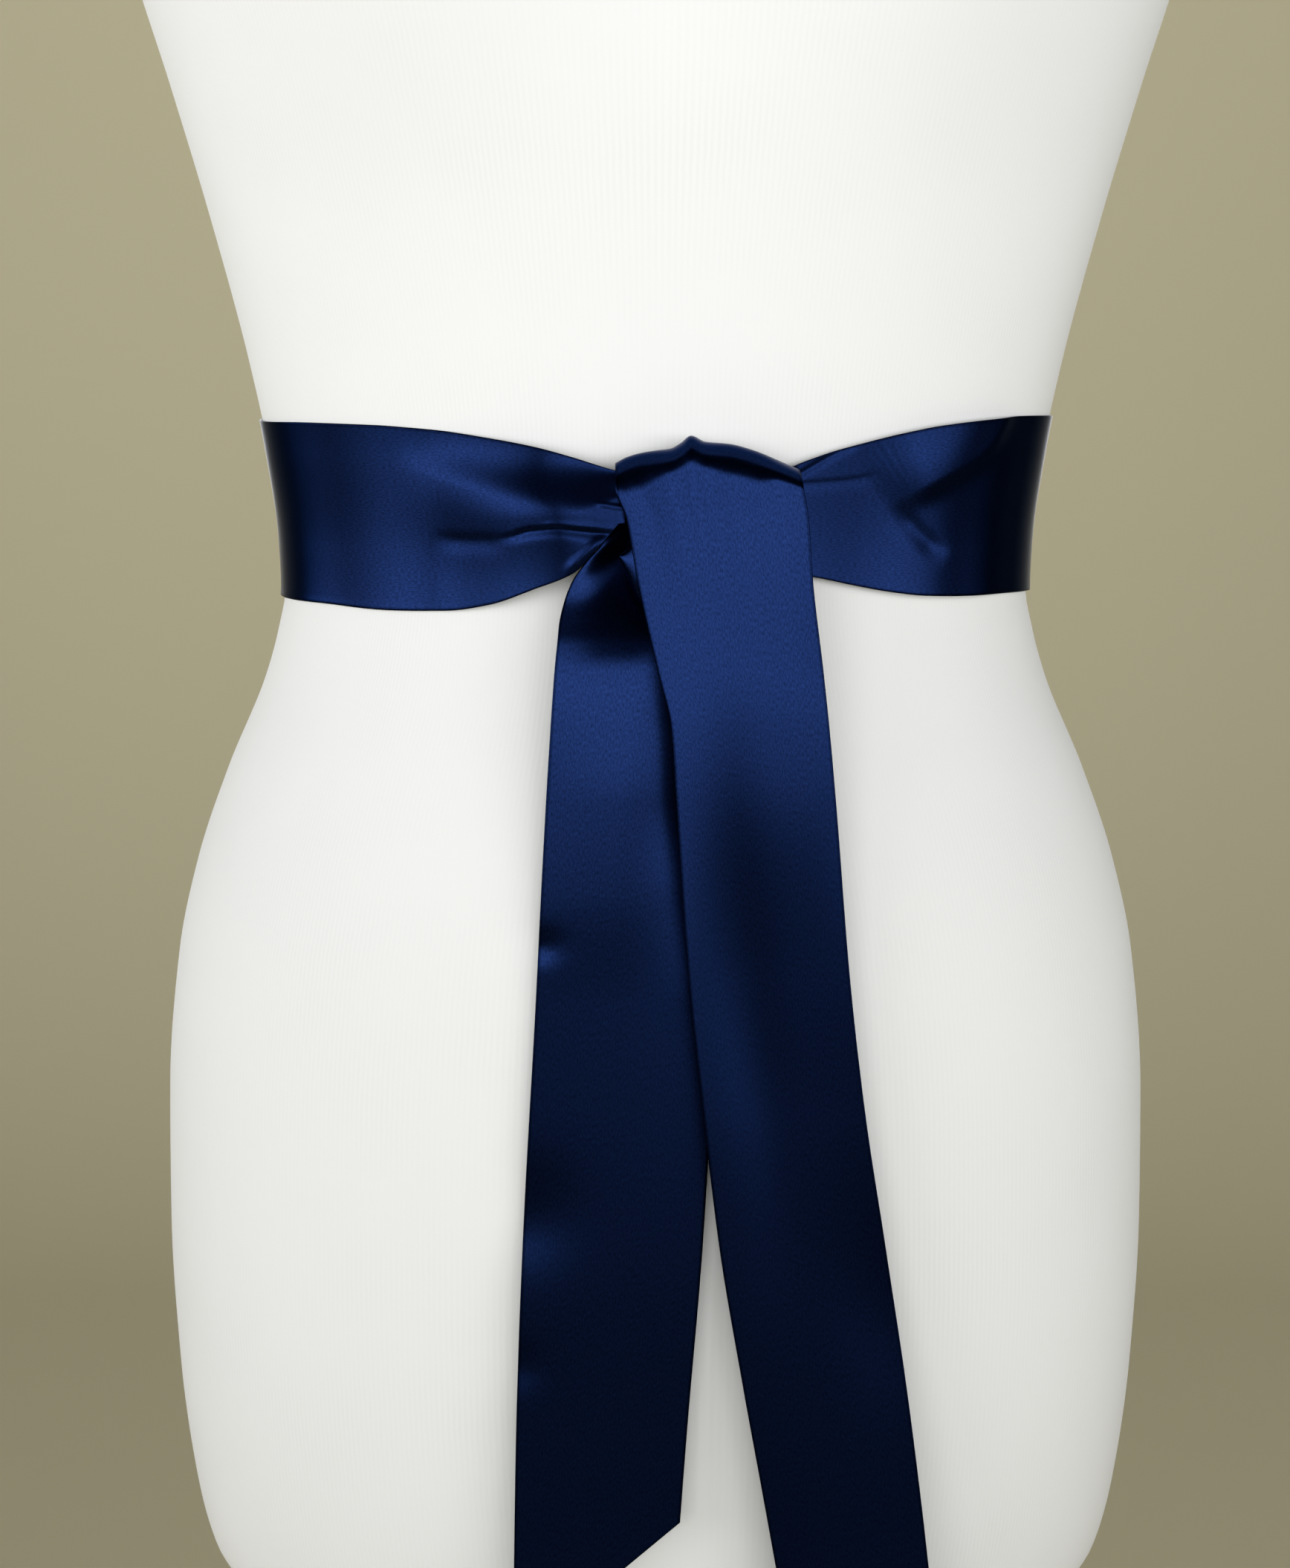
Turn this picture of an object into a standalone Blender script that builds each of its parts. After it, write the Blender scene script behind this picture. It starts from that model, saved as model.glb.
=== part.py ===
# A navy satin ribbon sash, tied in a half knot round the waist of a limbless dress form.
# The form is a jersey-covered torso on a short counter-top stand, and the sash is one ribbon,
# cut here into the stretches that show: round the waist, through the knot, and down its two tails.
#
# Metres, +Z up, the wearer's front towards -Y. The origin is on the surface that the form stands on,
# at the middle of the round base. A height called rise is measured from the waistline, which is
# the middle of the ribbon at the sides.
import bpy
import bmesh
import numpy as np

# Driving dimensions
WAIST_HEIGHT = 0.515      # waistline above the surface
RIBBON_WALL = 0.0012      # thickness of the cloth's wall
CLEAR = 0.0006            # between the cloth and the form under it
SEAM = 0.0004             # between two stretches of the ribbon
EDGE_STAND = 0.0005       # how much further out the ribbon's lower edge stands

FORM_SIDES = 48           # facets round the torso
FORM_STEP = 0.036         # tallest band of facets on the torso
NECK_TOP = 0.462          # rise of the neck's flat top
TORSO_FLOOR = -0.385      # rise of the torso's flat underside

BUST_APART = 0.088        # each lobe's centre, from the middle
BUST_RISE = 0.185
BUST_DEPTH = 0.021
BUST_SPREAD = 0.060
BUST_TALL = 0.062

CAP_RADIUS = 0.0525
CAP_THICK = 0.010
FLANGE_RADIUS = 0.045
FLANGE_THICK = 0.006
COLLAR_RADIUS = 0.024
COLLAR_HEIGHT = 0.034
POLE_RADIUS = 0.0155
BASE_RADIUS = 0.165
BASE_THICK = 0.016
BASE_CROWN = 0.010        # how far the base's middle stands above its rim
BASE_EDGE = 0.004
SOCKET_RADIUS = 0.027
SOCKET_HEIGHT = 0.022
PART_GAP = 0.0003         # between two rigid pieces that touch

SIDE_SEAM = 100.0         # azimuth, in degrees from the front, of the seams behind each side
KNOT_LEFT_END = -0.0086   # where the left stretch stops, under the front tail
KNOT_RIGHT_END = 0.0395
LEFT_LIFT = 0.0118        # how far the left stretch climbs off the form on its way over the knot
RIGHT_LIFT = 0.0030

ROLL_MIDDLE = -0.0955     # depth of the roll's top line, where the front tail comes over the knot
ROLL_BACK = 0.0050        # how far the roll reaches back from that line
ROLL_TUCK = 0.0046        # how much each side draws in where the tail comes up behind the knot

# Torso sections, from the underside up. Half is half the width, front and back are how far the
# section reaches from the pole's axis, and square is the exponent of its rounded outline.
TORSO = [
    # rise,   half,   front,  back,   square
    (-0.385, 0.1020, 0.0560, 0.0700, 2.20),
    (-0.381, 0.1240, 0.0690, 0.0850, 2.25),
    (-0.373, 0.1345, 0.0770, 0.0930, 2.28),
    (-0.362, 0.1430, 0.0825, 0.1000, 2.30),
    (-0.348, 0.1515, 0.0868, 0.1055, 2.32),
    (-0.322, 0.1575, 0.0915, 0.1120, 2.34),
    (-0.284, 0.1618, 0.0955, 0.1175, 2.34),
    (-0.236, 0.1639, 0.0990, 0.1210, 2.32),
    (-0.190, 0.1634, 0.1012, 0.1220, 2.30),
    (-0.144, 0.1593, 0.1018, 0.1190, 2.27),
    (-0.113, 0.1524, 0.1000, 0.1130, 2.24),
    (-0.083, 0.1419, 0.0962, 0.1040, 2.20),
    (-0.053, 0.1292, 0.0912, 0.0930, 2.16),
    (-0.038, 0.1249, 0.0886, 0.0885, 2.15),
    (-0.0235, 0.1223, 0.0870, 0.0860, 2.15),
    (-0.008, 0.1230, 0.0866, 0.0852, 2.15),
    (0.021, 0.1272, 0.0876, 0.0870, 2.15),
    (0.050, 0.1331, 0.0900, 0.0910, 2.15),
    (0.093, 0.1440, 0.0950, 0.0975, 2.17),
    (0.136, 0.1562, 0.1005, 0.1030, 2.20),
    (0.180, 0.1695, 0.1040, 0.1065, 2.24),
    (0.225, 0.1800, 0.1030, 0.1080, 2.30),
    (0.270, 0.1855, 0.0960, 0.1060, 2.34),
    (0.310, 0.1850, 0.0860, 0.0990, 2.34),
    (0.337, 0.1740, 0.0765, 0.0900, 2.30),
    (0.356, 0.1480, 0.0690, 0.0810, 2.24),
    (0.373, 0.1130, 0.0630, 0.0720, 2.15),
    (0.392, 0.0800, 0.0590, 0.0640, 2.05),
    (0.420, 0.0610, 0.0560, 0.0590, 2.00),
    (0.462, 0.0560, 0.0545, 0.0555, 2.00),
]

# The ribbon's two edges round the waist, by azimuth from the front, positive to the right.
BAND_LEFT = [
    # azimuth, upper, lower
    (-101.0, 0.0312, -0.0258),
    (-75.0, 0.0306, -0.0262),
    (-57.0, 0.0309, -0.0260),
    (-42.0, 0.0306, -0.0267),
    (-30.0, 0.0293, -0.0261),
    (-22.0, 0.0273, -0.0236),
    (-14.6, 0.0246, -0.0181),
    (-9.4, 0.0214, -0.0130),
    (-6.6, 0.0192, -0.0060),
    (-4.0, 0.0172, 0.0020),
]
BAND_RIGHT = [
    # azimuth, upper, lower
    (16.0, 0.0180, -0.0135),
    (21.5, 0.0222, -0.0155),
    (27.0, 0.0254, -0.0180),
    (33.0, 0.0282, -0.0203),
    (40.0, 0.0305, -0.0220),
    (50.0, 0.0321, -0.0228),
    (60.0, 0.0328, -0.0232),
    (75.0, 0.0325, -0.0240),
    (101.0, 0.0314, -0.0254),
]

# The knot's hidden turns share one rounded body. Its left corner is the fold that peeks out
# between the two tails.
KNOT = [
    # across,  upper,   lower,   front
    (-0.0110, -0.0070, -0.0090, -0.1000),
    (-0.0085, -0.0048, -0.0150, -0.1016),
    (-0.0055, -0.0010, -0.0215, -0.1034),
    (0.0010, 0.0070, -0.0235, -0.1048),
    (0.0100, 0.0120, -0.0225, -0.1055),
    (0.0200, 0.0125, -0.0220, -0.1055),
    (0.0300, 0.0090, -0.0200, -0.1045),
    (0.0388, -0.0020, -0.0120, -0.0995),
]
KNOT_BACK = -0.0945

# The top of the roll that the front tail makes over the knot, with its small pinched peak, and how
# tall the roll's front is before it hangs straight.
ROLL_TOP = [
    # across, top,    tall
    (-0.0123, 0.0198, 0.0090),
    (-0.0090, 0.0215, 0.0118),
    (-0.0049, 0.0227, 0.0121),
    (0.0000, 0.0235, 0.0094),
    (0.0040, 0.0240, 0.0074),
    (0.0074, 0.0258, 0.0078),
    (0.0103, 0.0279, 0.0084),
    (0.0145, 0.0261, 0.0082),
    (0.0220, 0.0254, 0.0102),
    (0.0290, 0.0236, 0.0102),
    (0.0360, 0.0208, 0.0064),
    (0.0425, 0.0178, 0.0056),
]

# The two edges of each tail by rise, its depth, how much nearer its left edge is than its middle, and
# how far its middle stands out of the line between its edges. The rear tail's left side curls
# towards the viewer where it leaves the knot, and its right side tucks in behind the front tail.
FRONT_TAIL = [
    # rise,   left,    right,   depth,   turn,   crown
    (0.0200, -0.0123, 0.0425, -0.1064, 0.0000, 0.0000),
    (0.0125, -0.0122, 0.0438, -0.1065, 0.0000, 0.0002),
    (0.0040, -0.0092, 0.0453, -0.1067, 0.0000, 0.0006),
    (-0.0150, -0.0057, 0.0467, -0.1072, 0.0002, 0.0008),
    (-0.0420, 0.0004, 0.0500, -0.1080, 0.0008, 0.0008),
    (-0.0590, 0.0044, 0.0519, -0.1086, 0.0011, 0.0006),
    (-0.0820, 0.0060, 0.0541, -0.1091, 0.0014, 0.0004),
    (-0.1360, 0.0098, 0.0588, -0.1097, 0.0020, -0.0010),
    (-0.1780, 0.0144, 0.0639, -0.1094, 0.0022, -0.0014),
    (-0.2200, 0.0195, 0.0706, -0.1084, 0.0020, -0.0012),
    (-0.2620, 0.0265, 0.0772, -0.1070, 0.0016, -0.0006),
    (-0.3050, 0.0342, 0.0830, -0.1052, 0.0012, 0.0002),
    (-0.3600, 0.0438, 0.0895, -0.1029, 0.0008, 0.0008),
    (-0.4150, 0.0525, 0.0962, -0.1005, 0.0006, 0.0010),
]
REAR_TAIL = [
    # rise,   left,    right,   depth,   turn,    crown,  curl,   tuck
    (0.0020, -0.0130, 0.0120, -0.0884, 0.0000, 0.0000, 0.0020, 0.0000),
    (-0.0050, -0.0168, 0.0150, -0.0893, 0.0000, 0.0000, 0.0045, 0.0000),
    (-0.0100, -0.0214, 0.0170, -0.0909, 0.0000, 0.0000, 0.0038, 0.0000),
    (-0.0160, -0.0256, 0.0190, -0.0931, 0.0000, 0.0000, 0.0026, 0.0000),
    (-0.0220, -0.0279, 0.0203, -0.0953, 0.0000, 0.0000, 0.0014, 0.0000),
    (-0.0280, -0.0293, 0.0212, -0.0975, 0.0000, 0.0000, 0.0009, 0.0000),
    (-0.0340, -0.0299, 0.0217, -0.0995, 0.0000, 0.0000, 0.0006, 0.0008),
    (-0.0420, -0.0307, 0.0221, -0.1014, 0.0000, 0.0000, 0.0000, 0.0028),
    (-0.0500, -0.0313, 0.0224, -0.1020, 0.0000, 0.0002, 0.0000, 0.0042),
    (-0.0600, -0.0320, 0.0224, -0.1024, 0.0000, 0.0004, 0.0000, 0.0050),
    (-0.0820, -0.0334, 0.0214, -0.1029, 0.0000, 0.0008, 0.0000, 0.0046),
    (-0.1100, -0.0350, 0.0200, -0.1034, 0.0000, 0.0008, 0.0000, 0.0023),
    (-0.1440, -0.0368, 0.0184, -0.1038, -0.0004, 0.0004, 0.0000, 0.0006),
    (-0.2200, -0.0412, 0.0143, -0.1043, -0.0008, 0.0006, 0.0000, 0.0000),
    (-0.2780, -0.0435, 0.0097, -0.1033, -0.0010, 0.0010, 0.0000, 0.0000),
    (-0.3600, -0.0452, 0.0040, -0.1008, -0.0010, 0.0012, 0.0000, 0.0000),
]
# Both ends are cut on the slant, each with its long point on the outer edge.
FRONT_TIP = {"left": -0.3660, "right": -0.4150}
REAR_TIP = {"left": -0.3560, "right": -0.3090}

# Soft dents in the tails. Share is the place across, 0 at the left edge; depth is towards the form.
FRONT_DENTS = [
    # share, rise,   wide,  tall,  depth
    (0.32, -0.140, 0.20, 0.060, 0.0020),
    (0.95, -0.240, 0.30, 0.030, 0.0014),
]
REAR_DENTS = [
    # share, rise,   wide,  tall,  depth
    (0.52, -0.0150, 0.28, 0.0120, 0.0024),
    (0.00, -0.1262, 0.12, 0.0048, 0.0006),
    (0.00, -0.2120, 0.26, 0.0150, 0.0015),
    (0.00, -0.2590, 0.13, 0.0070, 0.0008),
]


def read(table, column, at):
    """Value of one column of a table at the places given, on a smooth curve through its rows.

    A cubic runs between each two rows, with the slope at a row limited so that it never overshoots.
    """
    rows = np.array(table, dtype=float)
    rows = rows[np.argsort(rows[:, 0])]
    place, value = rows[:, 0], rows[:, column]
    step = np.diff(place)
    slope = np.diff(value) / step
    tangent = np.concatenate([slope[:1], np.zeros(len(place) - 2), slope[-1:]])
    same = slope[:-1] * slope[1:] > 0
    before = 2 * step[1:] + step[:-1]
    after = step[1:] + 2 * step[:-1]
    safe = np.where(same, slope[:-1] * slope[1:], 1.0)
    mean = (before + after) * safe / (before * slope[1:] + after * slope[:-1] + (~same) * 1e9)
    tangent[1:-1] = np.where(same, mean, 0.0)
    at = np.clip(at, place[0], place[-1])
    row = np.clip(np.searchsorted(place, at, side="right") - 1, 0, len(step) - 1)
    part = (at - place[row]) / step[row]
    start = (1 + 2 * part) * (1 - part) ** 2 * value[row] + part * (1 - part) ** 2 * step[row] * tangent[row]
    finish = part ** 2 * (3 - 2 * part) * value[row + 1] - part ** 2 * (1 - part) * step[row] * tangent[row + 1]
    return start + finish


def ease(low, high, at):
    """0 below low, 1 above high, and a smooth step between."""
    part = np.clip((at - low) / (high - low), 0.0, 1.0)
    return part ** 2 * (3 - 2 * part)


def rounded(value, power):
    """The value's power with its sign kept, straightened near 0 so that the outline has no kink there."""
    return value * (value ** 2 + 0.01) ** ((power - 1) / 2)


def form_point(azimuth, rise, out=0.0):
    """Points of the torso's surface, moved out: a rounded ellipse at each rise, with two bust lobes."""
    turn = np.radians(azimuth)
    side, ahead = np.sin(turn), np.cos(turn)
    power = 2.0 / read(TORSO, 4, rise)
    half = read(TORSO, 1, rise) + out
    reach = np.where(ahead > 0, read(TORSO, 2, rise), read(TORSO, 3, rise)) + out
    across = half * rounded(side, power)
    depth = -reach * rounded(ahead, power)
    beside = (np.abs(across) - BUST_APART) / BUST_SPREAD
    above = (rise - BUST_RISE) / BUST_TALL
    lobe = BUST_DEPTH * np.exp(-beside ** 2 - above ** 2) * np.clip(ahead, 0.0, 1.0) ** 0.5
    return np.stack([across, depth - lobe, rise + 0 * across], axis=-1)


def normals(points):
    """Unit normals of a grid of points, from the cross product of its two directions."""
    along = np.gradient(points, axis=0)
    across = np.gradient(points, axis=1)
    normal = np.cross(along, across)
    return normal / np.linalg.norm(normal, axis=-1, keepdims=True)


def add_object(name, points, faces, material, sharp=40.0):
    """One named object with its faces pointing out, its heights moved from the waistline to the surface."""
    points = np.array(points, dtype=float).reshape(-1, 3) + [0.0, 0.0, WAIST_HEIGHT]
    mesh = bpy.data.meshes.new(name)
    mesh.from_pydata(points.tolist(), [], faces)
    work = bmesh.new()
    work.from_mesh(mesh)
    bmesh.ops.recalc_face_normals(work, faces=work.faces)
    work.to_mesh(mesh)
    work.free()
    mesh.shade_smooth()
    mesh.set_sharp_from_angle(angle=np.radians(sharp))
    mesh.materials.append(material)
    piece = bpy.data.objects.new(name, mesh)
    bpy.context.scene.collection.objects.link(piece)
    return piece


def grid_faces(rows, cols, first=0, closed=False):
    """Quads of a grid whose columns may close into a ring."""
    faces = []
    for row in range(rows - 1):
        for col in range(cols if closed else cols - 1):
            beside = (col + 1) % cols
            a, b = first + row * cols + col, first + row * cols + beside
            faces.append((a, b, b + cols, a + cols))
    return faces


def rim_of(rows, cols):
    """The indices round the edge of a grid, in order."""
    top = [col for col in range(cols)]
    right = [row * cols + cols - 1 for row in range(1, rows)]
    bottom = [(rows - 1) * cols + col for col in range(cols - 2, -1, -1)]
    left = [row * cols for row in range(rows - 2, 0, -1)]
    return top + right + bottom + left


def add_wall(name, face, back, material):
    """A closed wall of cloth between two matching grids of points."""
    rows, cols = face.shape[:2]
    count = rows * cols
    faces = grid_faces(rows, cols)
    faces += [tuple(count + index for index in reversed(quad)) for quad in grid_faces(rows, cols)]
    rim = rim_of(rows, cols)
    faces += [(b, a, count + a, count + b) for a, b in zip(rim, rim[1:] + rim[:1])]
    points = np.concatenate([face.reshape(-1, 3), back.reshape(-1, 3)])
    return add_object(name, points, faces, material)


def add_stack(name, rings, material, sharp=40.0):
    """A closed body through rings of points, flat at both ends."""
    count, cols = rings.shape[:2]
    faces = grid_faces(count, cols, closed=True)
    faces.append(tuple(reversed(range(cols))))
    faces.append(tuple((count - 1) * cols + col for col in range(cols)))
    return add_object(name, rings, faces, material, sharp)


def turned(name, profile, sides, material):
    """A round body about the pole's axis: profile rows are radius and rise, from the bottom up."""
    turn = np.arange(sides) * 2 * np.pi / sides
    rings = [np.stack([radius * np.cos(turn), radius * np.sin(turn), rise + 0 * turn], axis=-1)
             for radius, rise in profile]
    return add_stack(name, np.array(rings), material)


def finish(name, colour, roughness, metallic=0.0):
    """A plain material with the part's colour."""
    material = bpy.data.materials.new(name)
    material.use_nodes = True
    shader = material.node_tree.nodes["Principled BSDF"]
    shader.inputs["Base Color"].default_value = (*colour, 1.0)
    shader.inputs["Roughness"].default_value = roughness
    shader.inputs["Metallic"].default_value = metallic
    material.diffuse_color = (*colour, 1.0)
    return material


def build_torso():
    """The whole limbless torso: a stack of sections, closer together where the table's rows are."""
    heights = [TORSO[0][0]]
    for lower, upper in zip(TORSO, TORSO[1:]):
        steps = int(np.ceil((upper[0] - lower[0]) / FORM_STEP))
        heights += list(np.linspace(lower[0], upper[0], steps + 1)[1:])
    rise, azimuth = np.meshgrid(heights, np.arange(FORM_SIDES) * 360.0 / FORM_SIDES, indexing="ij")
    jersey = finish("off_white_jersey", (0.86, 0.86, 0.83), 0.9)
    add_stack("form_torso", form_point(azimuth, rise), jersey)


def build_neck_cap():
    """A plain turned cap that covers the neck's raw top."""
    low = NECK_TOP + PART_GAP
    profile = [(CAP_RADIUS - 0.0015, low), (CAP_RADIUS, low + 0.0015), (CAP_RADIUS, low + CAP_THICK - 0.003),
               (CAP_RADIUS - 0.003, low + CAP_THICK)]
    turned("form_neck_cap", profile, 32, finish("satin_metal", (0.62, 0.62, 0.62), 0.4, 1.0))


def build_stand():
    """The short stand: flange and clamping collar under the torso, pole, and round base with its socket."""
    metal = finish("satin_metal", (0.62, 0.62, 0.62), 0.4, 1.0)
    floor = -WAIST_HEIGHT
    under = TORSO_FLOOR - PART_GAP
    collar = [(COLLAR_RADIUS - 0.002, under - FLANGE_THICK - COLLAR_HEIGHT),
              (COLLAR_RADIUS, under - FLANGE_THICK - COLLAR_HEIGHT + 0.002),
              (COLLAR_RADIUS, under - FLANGE_THICK), (FLANGE_RADIUS, under - FLANGE_THICK),
              (FLANGE_RADIUS, under)]
    turned("form_collar", collar, 32, metal)
    pole_top = under - FLANGE_THICK - COLLAR_HEIGHT - PART_GAP
    base_top = floor + BASE_THICK + BASE_CROWN
    socket_top = base_top + SOCKET_HEIGHT
    turned("form_pole", [(POLE_RADIUS, socket_top + PART_GAP), (POLE_RADIUS, pole_top)], 28, metal)
    socket = [(SOCKET_RADIUS, base_top + PART_GAP), (SOCKET_RADIUS, socket_top - 0.006),
              (SOCKET_RADIUS - 0.006, socket_top)]
    turned("form_socket", socket, 32, metal)
    share = np.linspace(0.0, 1.0, 5)
    crown = [(BASE_RADIUS - BASE_EDGE - (BASE_RADIUS - BASE_EDGE - SOCKET_RADIUS - 0.002) * part,
              floor + BASE_THICK + BASE_CROWN * np.sin(part * np.pi / 2)) for part in share]
    base = [(BASE_RADIUS - 0.002, floor), (BASE_RADIUS, floor + 0.002),
            (BASE_RADIUS, floor + BASE_THICK - BASE_EDGE)] + crown
    turned("form_base", base, 48, metal)


def band_points(table, azimuth, share, out):
    """Ribbon round the waist: share runs from its upper edge, 0, to its lower edge, 1."""
    rise = (1 - share) * read(table, 1, azimuth) + share * read(table, 2, azimuth)
    return form_point(azimuth, rise, out)


def left_lift(azimuth, share):
    """How far the left stretch climbs off the form towards the knot, least at its upper edge."""
    return LEFT_LIFT * ease(-32.0, -6.0, azimuth) * (0.62 + 0.38 * ease(0.0, 0.5, share))


def right_lift(azimuth, share):
    """How far the right stretch stands off the form as it goes under the front tail."""
    return RIGHT_LIFT * (1 - ease(46.0, 66.0, azimuth))


def azimuth_at(across, out):
    """Azimuth on the front of the waist that lies at one place across."""
    tries = np.linspace(-60.0, 60.0, 2401)
    places = form_point(tries, np.zeros_like(tries), out)[:, 0]
    return float(np.interp(across, places, tries))


def build_waist(material):
    """The three stretches round the waist, each a wall moved out from the form's own points."""
    share = np.linspace(0.0, 1.0, 6)
    first, last = azimuth_at(KNOT_LEFT_END, LEFT_LIFT), azimuth_at(KNOT_RIGHT_END, RIGHT_LIFT)
    gap = np.degrees(SEAM / read(TORSO, 1, 0.0))

    def stretch(name, table, azimuths, lift):
        azimuth, part = np.meshgrid(azimuths, share, indexing="ij")
        inner = CLEAR + lift(azimuth, part) + EDGE_STAND * part
        face = band_points(table, azimuth, part, inner + RIBBON_WALL)
        add_wall(name, face, band_points(table, azimuth, part, inner), material)

    stretch("sash_waist_left", BAND_LEFT, np.linspace(-SIDE_SEAM, first, 27), left_lift)
    stretch("sash_waist_right", BAND_RIGHT, np.linspace(last, SIDE_SEAM, 23), right_lift)

    azimuth, part = np.meshgrid(np.linspace(SIDE_SEAM + gap, 360.0 - SIDE_SEAM - gap, 25), share, indexing="ij")
    blend = ease(SIDE_SEAM, 360.0 - SIDE_SEAM, azimuth)
    rise_right = (1 - part) * BAND_RIGHT[-1][1] + part * BAND_RIGHT[-1][2]
    rise_left = (1 - part) * BAND_LEFT[0][1] + part * BAND_LEFT[0][2]
    rise = rise_right * (1 - blend) + rise_left * blend
    inner = CLEAR + EDGE_STAND * part
    face = form_point(azimuth, rise, inner + RIBBON_WALL)
    add_wall("sash_waist_back", face, form_point(azimuth, rise, inner), material)


def build_knot(material):
    """The knot's hidden turns as one rounded body: an oval section at each place across."""
    places = np.array([row[0] for row in KNOT])
    across = np.sort(np.concatenate([places, (places[1:] + places[:-1]) / 2]))
    turn = np.arange(18) * 2 * np.pi / 18
    rings = []
    for place in across:
        upper, lower, front = (float(read(KNOT, column, np.array(place))) for column in (1, 2, 3))
        tall, deep = (upper - lower) / 2, (KNOT_BACK - front) / 2
        side, up = np.cos(turn), np.sin(turn)
        depth = (KNOT_BACK + front) / 2 - deep * np.sign(side) * np.abs(side) ** 0.7
        rise = (upper + lower) / 2 + tall * np.sign(up) * np.abs(up) ** 0.85
        rings.append(np.stack([place + 0 * turn, depth, rise], axis=-1))
    add_stack("sash_knot_wrap", np.array(rings), material, 60.0)


def hang(table, dents, tip, share, start, rows):
    """A tail's hanging sheet: rows of points from start, at each share across, down to its slanted end."""
    end = (1 - share) * tip["left"] + share * tip["right"]
    rise = start + (end - start) * rows
    left, right = read(table, 1, rise), read(table, 2, rise)
    across = (1 - share) * left + share * right
    middle = 4 * share * (1 - share)
    depth = read(table, 3, rise) - read(table, 4, rise) * (1 - 2 * share) - read(table, 5, rise) * middle
    if len(table[0]) > 6:
        depth = depth - read(table, 6, rise) * (1 - ease(0.0, 0.28, share))
        depth = depth + read(table, 7, rise) * ease(0.40, 1.0, share)
    for place, height, wide, tall, deep in dents:
        depth = depth + deep * np.exp(-((share - place) / wide) ** 2 - ((rise - height) / tall) ** 2)
    return np.stack([across, depth, rise], axis=-1)


def build_front_tail(material):
    """The tail that comes up behind the knot, rolls over it and hangs in front."""
    share = np.linspace(0.0, 1.0, 11)
    flat = (1 - share) * ROLL_TOP[0][0] + share * ROLL_TOP[-1][0]
    top, tall = read(ROLL_TOP, 1, flat), read(ROLL_TOP, 2, flat)
    fall, part = np.meshgrid(np.linspace(0.0, 1.0, 32), share, indexing="ij")
    sheet = hang(FRONT_TAIL, FRONT_DENTS, FRONT_TIP, part, top - tall, fall)
    angle, part = np.meshgrid(np.linspace(np.radians(205.0), np.radians(20.0), 10), share, indexing="ij")
    rise = top - tall + tall * np.sin(angle)
    front = angle < np.pi / 2
    across = (1 - part) * read(FRONT_TAIL, 1, rise) + part * read(FRONT_TAIL, 2, rise)
    behind = ease(np.radians(80.0), np.radians(140.0), angle)
    across = np.where(front, across, flat) + behind * ROLL_TUCK * (1 - 2 * part)
    reach = np.where(front, ROLL_MIDDLE - sheet[0, :, 1], ROLL_BACK)
    over = np.stack([across, ROLL_MIDDLE - reach * np.cos(angle), rise], axis=-1)
    face = np.concatenate([over, sheet])
    add_wall("sash_front_tail", face, face - RIBBON_WALL * normals(face), material)


def build_rear_tail(material):
    """The tail that comes out below the left stretch and hangs behind the other."""
    rows = np.concatenate([np.linspace(0.0, 0.16, 9), np.linspace(0.16, 1.0, 25)[1:]])
    fall, part = np.meshgrid(rows, np.linspace(0.0, 1.0, 10), indexing="ij")
    face = hang(REAR_TAIL, REAR_DENTS, REAR_TIP, part, REAR_TAIL[0][0], fall)
    add_wall("sash_rear_tail", face, face - RIBBON_WALL * normals(face), material)


def main():
    for old in list(bpy.data.objects):
        bpy.data.objects.remove(old)
    build_torso()
    build_neck_cap()
    build_stand()
    satin = finish("navy_satin", (0.010, 0.022, 0.085), 0.4)
    build_waist(satin)
    build_knot(satin)
    build_front_tail(satin)
    build_rear_tail(satin)


main()
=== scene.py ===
# A navy satin ribbon sash on a jersey-covered dress form: surfaces, finishes, light and camera.
# Metres in the part's own frame, +Z up, the wearer's front towards -Y.
import math
import bpy
import numpy as np
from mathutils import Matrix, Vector


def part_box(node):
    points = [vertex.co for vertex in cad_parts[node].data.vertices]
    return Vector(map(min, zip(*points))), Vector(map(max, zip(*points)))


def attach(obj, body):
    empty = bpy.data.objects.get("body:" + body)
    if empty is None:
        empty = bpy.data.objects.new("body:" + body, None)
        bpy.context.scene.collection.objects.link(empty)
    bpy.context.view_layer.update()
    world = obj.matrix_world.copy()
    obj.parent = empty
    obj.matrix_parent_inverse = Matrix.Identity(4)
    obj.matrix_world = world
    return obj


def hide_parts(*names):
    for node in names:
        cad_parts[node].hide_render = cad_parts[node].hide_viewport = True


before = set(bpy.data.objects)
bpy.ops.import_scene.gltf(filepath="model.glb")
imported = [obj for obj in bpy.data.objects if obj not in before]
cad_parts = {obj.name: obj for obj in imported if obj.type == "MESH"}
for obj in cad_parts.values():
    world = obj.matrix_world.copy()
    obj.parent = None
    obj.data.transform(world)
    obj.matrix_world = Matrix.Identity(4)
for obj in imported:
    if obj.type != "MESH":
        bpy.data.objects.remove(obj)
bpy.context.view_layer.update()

# Places read from the frame
TORSO_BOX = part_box("form_torso")
FLOOR_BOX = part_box("form_base")
TORSO_FLOOR = -0.385                       # the torso's underside, from the waistline
WAIST = TORSO_BOX[0][2] - TORSO_FLOOR      # waistline's height above the surface
MM = 0.001

# The ribbon
RIBBON_WIDTH = 0.057
RIBBON_THICK = 0.0004
CLEAR = 0.0008            # from the form to the ribbon's middle layer
LEAST_GAP = 0.0003        # the same where a fold is pressed against the form
SOFT_STOP = 0.0004        # how gently it is stopped there
EDGE_STAND = 0.0005       # how much further out the ribbon's lower edge stands

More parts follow.
